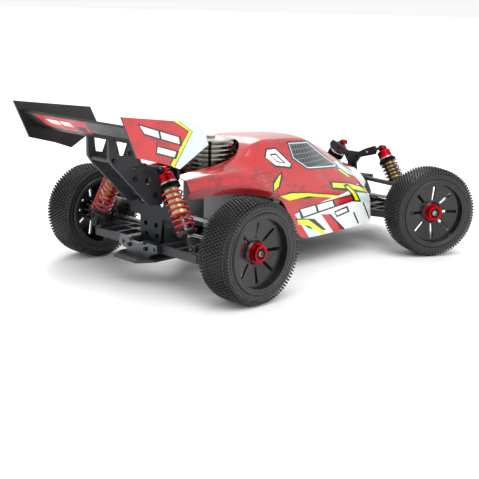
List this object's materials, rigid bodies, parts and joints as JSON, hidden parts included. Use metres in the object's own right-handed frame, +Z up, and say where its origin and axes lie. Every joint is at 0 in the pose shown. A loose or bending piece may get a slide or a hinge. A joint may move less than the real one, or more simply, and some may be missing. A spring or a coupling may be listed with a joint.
{
  "type": "radio-controlled off-road racing buggy",
  "caption": "Four-wheel-drive nitro buggy: painted shell and rear wing over a flat deck, coil-over suspension, steered front wheels.",
  "frame": {"origin": "centre of the overall box on the ground under the tyres", "axes": "+X forward, +Y to the left side, +Z up"},
  "size_m": [0.546, 0.352, 0.2],
  "materials": {
    "tyre_rubber": "soft pin-tread rubber",
    "rim_plastic": "moulded black nylon with a steel axle and a red anodised nut",
    "arm_plastic": "glass-filled nylon",
    "deck_aluminium": "grey anodised sheet",
    "tower_plate": "dark composite plate",
    "shock_metal": "machined barrel with a red anodised cap",
    "spring_steel": "red coated spring wire",
    "steel": "ground steel",
    "head_aluminium": "machined finned head",
    "engine_cast": "cast crankcase",
    "shell_paint": "painted clear shell, gloss",
    "wing_plastic": "moulded black wing",
    "tank_plastic": "smoked tank plastic",
    "black_plastic": "black moulded plastic"
  },
  "bodies": {
    "chassis": {"chassis_plate": "deck_aluminium", "guards": "black_plastic", "arm_holders": "arm_plastic", "diff_cases": "black_plastic", "centre_drive": "steel", "engine": "engine_cast", "cooling_head": "head_aluminium", "exhaust": "engine_cast", "fuel_tank": "tank_plastic", "radio_box": "black_plastic", "rear_shock_tower": "tower_plate", "front_shock_tower": "tower_plate", "wing_mount": "arm_plastic", "rear_wing": "wing_plastic", "body_shell": "shell_paint", "fasteners": "steel"},
    "arm_front_left": {"arm_front_left": "arm_plastic"},
    "link_front_left": {"link_front_left": "arm_plastic"},
    "driveshaft_front_left": {"driveshaft_front_left": "steel"},
    "shock_body_front_left": {"shock_body_front_left": "shock_metal", "spring_front_left": "spring_steel"},
    "shock_rod_front_left": {"shock_rod_front_left": "steel"},
    "c_hub_left": {"c_hub_left": "arm_plastic"},
    "wheel_front_left": {"tyre_front_left": "tyre_rubber", "rim_front_left": "rim_plastic"},
    "knuckle_left": {"knuckle_left": "arm_plastic"},
    "arm_rear_left": {"arm_rear_left": "arm_plastic"},
    "link_rear_left": {"link_rear_left": "arm_plastic"},
    "driveshaft_rear_left": {"driveshaft_rear_left": "steel"},
    "shock_body_rear_left": {"shock_body_rear_left": "shock_metal", "spring_rear_left": "spring_steel"},
    "shock_rod_rear_left": {"shock_rod_rear_left": "steel"},
    "upright_rear_left": {"upright_rear_left": "arm_plastic"},
    "wheel_rear_left": {"tyre_rear_left": "tyre_rubber", "rim_rear_left": "rim_plastic"},
    "arm_front_right": {"arm_front_right": "arm_plastic"},
    "link_front_right": {"link_front_right": "arm_plastic"},
    "driveshaft_front_right": {"driveshaft_front_right": "steel"},
    "shock_body_front_right": {"shock_body_front_right": "shock_metal", "spring_front_right": "spring_steel"},
    "shock_rod_front_right": {"shock_rod_front_right": "steel"},
    "c_hub_right": {"c_hub_right": "arm_plastic"},
    "wheel_front_right": {"tyre_front_right": "tyre_rubber", "rim_front_right": "rim_plastic"},
    "knuckle_right": {"knuckle_right": "arm_plastic"},
    "arm_rear_right": {"arm_rear_right": "arm_plastic"},
    "link_rear_right": {"link_rear_right": "arm_plastic"},
    "driveshaft_rear_right": {"driveshaft_rear_right": "steel"},
    "shock_body_rear_right": {"shock_body_rear_right": "shock_metal", "spring_rear_right": "spring_steel"},
    "shock_rod_rear_right": {"shock_rod_rear_right": "steel"},
    "upright_rear_right": {"upright_rear_right": "arm_plastic"},
    "wheel_rear_right": {"tyre_rear_right": "tyre_rubber", "rim_rear_right": "rim_plastic"},
    "servo_saver": {"servo_saver": "black_plastic"},
    "idler_crank": {"idler_crank": "black_plastic"},
    "steering_plate": {"steering_plate": "black_plastic"},
    "tie_rod_left": {"tie_rod_left": "steel"},
    "tie_rod_right": {"tie_rod_right": "steel"},
    "fuel_lid": {"fuel_lid": "black_plastic"}
  },
  "joints": [
    {"name": "suspension_front_left", "type": "hinge", "parent": "chassis", "child": "arm_front_left", "pos_m": [0.201, 0.027, 0.042], "axis": [1, 0, 0], "range_deg": [-9, 11], "stiffness_Nm_per_rad": 2.4, "springref_deg": -14.9},
    {"name": "link_swing_front_left", "type": "hinge", "parent": "chassis", "child": "link_front_left", "pos_m": [0.191, 0.027, 0.084], "axis": [1, 0, 0], "range_deg": [-9.04, 11.04]},
    {"name": "driveshaft_swing_front_left", "type": "hinge", "parent": "chassis", "child": "driveshaft_front_left", "pos_m": [0.201, 0.026, 0.056], "axis": [1, 0, 0], "range_deg": [-8.78, 10.72]},
    {"name": "shock_swing_front_left", "type": "hinge", "parent": "chassis", "child": "shock_body_front_left", "pos_m": [0.218, 0.034, 0.122], "axis": [1, 0, 0], "range_deg": [-2.08, 2.55]},
    {"name": "shock_travel_front_left", "type": "slide", "parent": "shock_body_front_left", "child": "shock_rod_front_left", "axis": [0, -0.5603, 0.8283], "range_m": [-0.00799, 0.00976], "deforming": ["spring_front_left"]},
    {"name": "hub_level_front_left", "type": "hinge", "parent": "arm_front_left", "child": "c_hub_left", "pos_m": [0.201, 0.1, 0.042], "axis": [1, 0, 0], "range_deg": [-11.02, 9.02]},
    {"name": "kingpin_left", "type": "hinge", "parent": "c_hub_left", "child": "knuckle_left", "pos_m": [0.201, 0.112, 0.056], "axis": [0, 0, 1], "range_deg": [-1.5, 54.7]},
    {"name": "wheel_spin_front_left", "type": "hinge", "parent": "knuckle_left", "child": "wheel_front_left", "pos_m": [0.21208, 0.13413, 0.056], "axis": [0.4478, 0.8942, 0], "continuous": true},
    {"name": "suspension_rear_left", "type": "hinge", "parent": "chassis", "child": "arm_rear_left", "pos_m": [-0.137, 0.027, 0.042], "axis": [1, 0, 0], "range_deg": [-9, 12], "stiffness_Nm_per_rad": 2.6, "springref_deg": -17.19},
    {"name": "link_swing_rear_left", "type": "hinge", "parent": "chassis", "child": "link_rear_left", "pos_m": [-0.147, 0.031, 0.08], "axis": [1, 0, 0], "range_deg": [-10.35, 13.8]},
    {"name": "driveshaft_swing_rear_left", "type": "hinge", "parent": "chassis", "child": "driveshaft_rear_left", "pos_m": [-0.137, 0.026, 0.056], "axis": [1, 0, 0], "range_deg": [-9.38, 12.51]},
    {"name": "shock_swing_rear_left", "type": "hinge", "parent": "chassis", "child": "shock_body_rear_left", "pos_m": [-0.171, 0.0365, 0.131], "axis": [1, 0, 0], "range_deg": [-2.03, 2.71]},
    {"name": "shock_travel_rear_left", "type": "slide", "parent": "shock_body_rear_left", "child": "shock_rod_rear_left", "axis": [0, -0.5408, 0.8412], "range_m": [-0.00888, 0.01184], "deforming": ["spring_rear_left"]},
    {"name": "hub_level_rear_left", "type": "hinge", "parent": "arm_rear_left", "child": "upright_rear_left", "pos_m": [-0.137, 0.104, 0.042], "axis": [1, 0, 0], "range_deg": [-12.02, 9.02]},
    {"name": "wheel_spin_rear_left", "type": "hinge", "parent": "upright_rear_left", "child": "wheel_rear_left", "pos_m": [-0.137, 0.13525, 0.056], "axis": [0, 1, 0], "continuous": true},
    {"name": "suspension_front_right", "type": "hinge", "parent": "chassis", "child": "arm_front_right", "pos_m": [0.201, -0.027, 0.042], "axis": [-1, 0, 0], "range_deg": [-9, 11], "stiffness_Nm_per_rad": 2.4, "springref_deg": -14.9},
    {"name": "link_swing_front_right", "type": "hinge", "parent": "chassis", "child": "link_front_right", "pos_m": [0.191, -0.027, 0.084], "axis": [-1, 0, 0], "range_deg": [-9.04, 11.04]},
    {"name": "driveshaft_swing_front_right", "type": "hinge", "parent": "chassis", "child": "driveshaft_front_right", "pos_m": [0.201, -0.026, 0.056], "axis": [-1, 0, 0], "range_deg": [-8.78, 10.72]},
    {"name": "shock_swing_front_right", "type": "hinge", "parent": "chassis", "child": "shock_body_front_right", "pos_m": [0.218, -0.034, 0.122], "axis": [-1, 0, 0], "range_deg": [-2.08, 2.55]},
    {"name": "shock_travel_front_right", "type": "slide", "parent": "shock_body_front_right", "child": "shock_rod_front_right", "axis": [0, 0.5603, 0.8283], "range_m": [-0.00799, 0.00976], "deforming": ["spring_front_right"]},
    {"name": "hub_level_front_right", "type": "hinge", "parent": "arm_front_right", "child": "c_hub_right", "pos_m": [0.201, -0.1, 0.042], "axis": [-1, 0, 0], "range_deg": [-11.02, 9.02]},
    {"name": "kingpin_right", "type": "hinge", "parent": "c_hub_right", "child": "knuckle_right", "pos_m": [0.201, -0.112, 0.056], "axis": [0, 0, 1], "range_deg": [-1.5, 54.7]},
    {"name": "wheel_spin_front_right", "type": "hinge", "parent": "knuckle_right", "child": "wheel_front_right", "pos_m": [0.18992, -0.13413, 0.056], "axis": [0.4478, 0.8942, 0], "continuous": true},
    {"name": "suspension_rear_right", "type": "hinge", "parent": "chassis", "child": "arm_rear_right", "pos_m": [-0.137, -0.027, 0.042], "axis": [-1, 0, 0], "range_deg": [-9, 12], "stiffness_Nm_per_rad": 2.6, "springref_deg": -17.19},
    {"name": "link_swing_rear_right", "type": "hinge", "parent": "chassis", "child": "link_rear_right", "pos_m": [-0.147, -0.031, 0.08], "axis": [-1, 0, 0], "range_deg": [-10.35, 13.8]},
    {"name": "driveshaft_swing_rear_right", "type": "hinge", "parent": "chassis", "child": "driveshaft_rear_right", "pos_m": [-0.137, -0.026, 0.056], "axis": [-1, 0, 0], "range_deg": [-9.38, 12.51]},
    {"name": "shock_swing_rear_right", "type": "hinge", "parent": "chassis", "child": "shock_body_rear_right", "pos_m": [-0.171, -0.0365, 0.131], "axis": [-1, 0, 0], "range_deg": [-2.03, 2.71]},
    {"name": "shock_travel_rear_right", "type": "slide", "parent": "shock_body_rear_right", "child": "shock_rod_rear_right", "axis": [0, 0.5408, 0.8412], "range_m": [-0.00888, 0.01184], "deforming": ["spring_rear_right"]},
    {"name": "hub_level_rear_right", "type": "hinge", "parent": "arm_rear_right", "child": "upright_rear_right", "pos_m": [-0.137, -0.104, 0.042], "axis": [-1, 0, 0], "range_deg": [-12.02, 9.02]},
    {"name": "wheel_spin_rear_right", "type": "hinge", "parent": "upright_rear_right", "child": "wheel_rear_right", "pos_m": [-0.137, -0.13525, 0.056], "axis": [0, 1, 0], "continuous": true},
    {"name": "steering", "type": "hinge", "parent": "chassis", "child": "servo_saver", "pos_m": [0.163, 0.018, 0.056], "axis": [0, 0, 1], "range_deg": [-1.4, 54.6]},
    {"name": "idler_turn", "type": "hinge", "parent": "chassis", "child": "idler_crank", "pos_m": [0.163, -0.018, 0.056], "axis": [0, 0, 1], "range_deg": [-1.5, 54.7]},
    {"name": "plate_level", "type": "hinge", "parent": "servo_saver", "child": "steering_plate", "pos_m": [0.14691, 0.02606, 0.067], "axis": [0, 0, 1], "range_deg": [-54.7, 1.5]},
    {"name": "tie_rod_swing_left", "type": "hinge", "parent": "steering_plate", "child": "tie_rod_left", "pos_m": [0.1549, 0.03206, 0.067], "axis": [1, 0, 0], "range_deg": [-7.49, 9.15]},
    {"name": "tie_rod_swing_right", "type": "hinge", "parent": "steering_plate", "child": "tie_rod_right", "pos_m": [0.1549, -0.01594, 0.067], "axis": [-1, 0, 0], "range_deg": [-7.49, 9.15]},
    {"name": "fuel_lid_hinge", "type": "hinge", "parent": "chassis", "child": "fuel_lid", "pos_m": [-0.016, 0.031, 0.09565], "axis": [0, -1, 0], "range_deg": [0, 95]}
  ],
  "couplings": [
    {"joint": "link_swing_front_left", "follows": "suspension_front_left", "ratio": 1.002},
    {"joint": "driveshaft_swing_front_left", "follows": "suspension_front_left", "ratio": 0.973},
    {"joint": "shock_swing_front_left", "follows": "suspension_front_left", "ratio": 0.23125},
    {"joint": "shock_travel_front_left", "follows": "suspension_front_left", "m_per_rad": 0.050755},
    {"joint": "hub_level_front_left", "follows": "suspension_front_left", "ratio": -1},
    {"joint": "kingpin_left", "follows": "steering", "ratio": 1},
    {"joint": "link_swing_rear_left", "follows": "suspension_rear_left", "ratio": 1.148},
    {"joint": "driveshaft_swing_rear_left", "follows": "suspension_rear_left", "ratio": 1.04},
    {"joint": "shock_swing_rear_left", "follows": "suspension_rear_left", "ratio": 0.22542},
    {"joint": "shock_travel_rear_left", "follows": "suspension_rear_left", "m_per_rad": 0.056395},
    {"joint": "hub_level_rear_left", "follows": "suspension_rear_left", "ratio": -1},
    {"joint": "link_swing_front_right", "follows": "suspension_front_right", "ratio": 1.002},
    {"joint": "driveshaft_swing_front_right", "follows": "suspension_front_right", "ratio": 0.973},
    {"joint": "shock_swing_front_right", "follows": "suspension_front_right", "ratio": 0.23125},
    {"joint": "shock_travel_front_right", "follows": "suspension_front_right", "m_per_rad": 0.050755},
    {"joint": "hub_level_front_right", "follows": "suspension_front_right", "ratio": -1},
    {"joint": "kingpin_right", "follows": "steering", "ratio": 1},
    {"joint": "link_swing_rear_right", "follows": "suspension_rear_right", "ratio": 1.148},
    {"joint": "driveshaft_swing_rear_right", "follows": "suspension_rear_right", "ratio": 1.04},
    {"joint": "shock_swing_rear_right", "follows": "suspension_rear_right", "ratio": 0.22542},
    {"joint": "shock_travel_rear_right", "follows": "suspension_rear_right", "m_per_rad": 0.056395},
    {"joint": "hub_level_rear_right", "follows": "suspension_rear_right", "ratio": -1},
    {"joint": "idler_turn", "follows": "steering", "ratio": 1},
    {"joint": "plate_level", "follows": "steering", "ratio": -1},
    {"joint": "tie_rod_swing_left", "follows": "suspension_front_left", "ratio": 0.83},
    {"joint": "tie_rod_swing_right", "follows": "suspension_front_right", "ratio": 0.83}
  ]
}
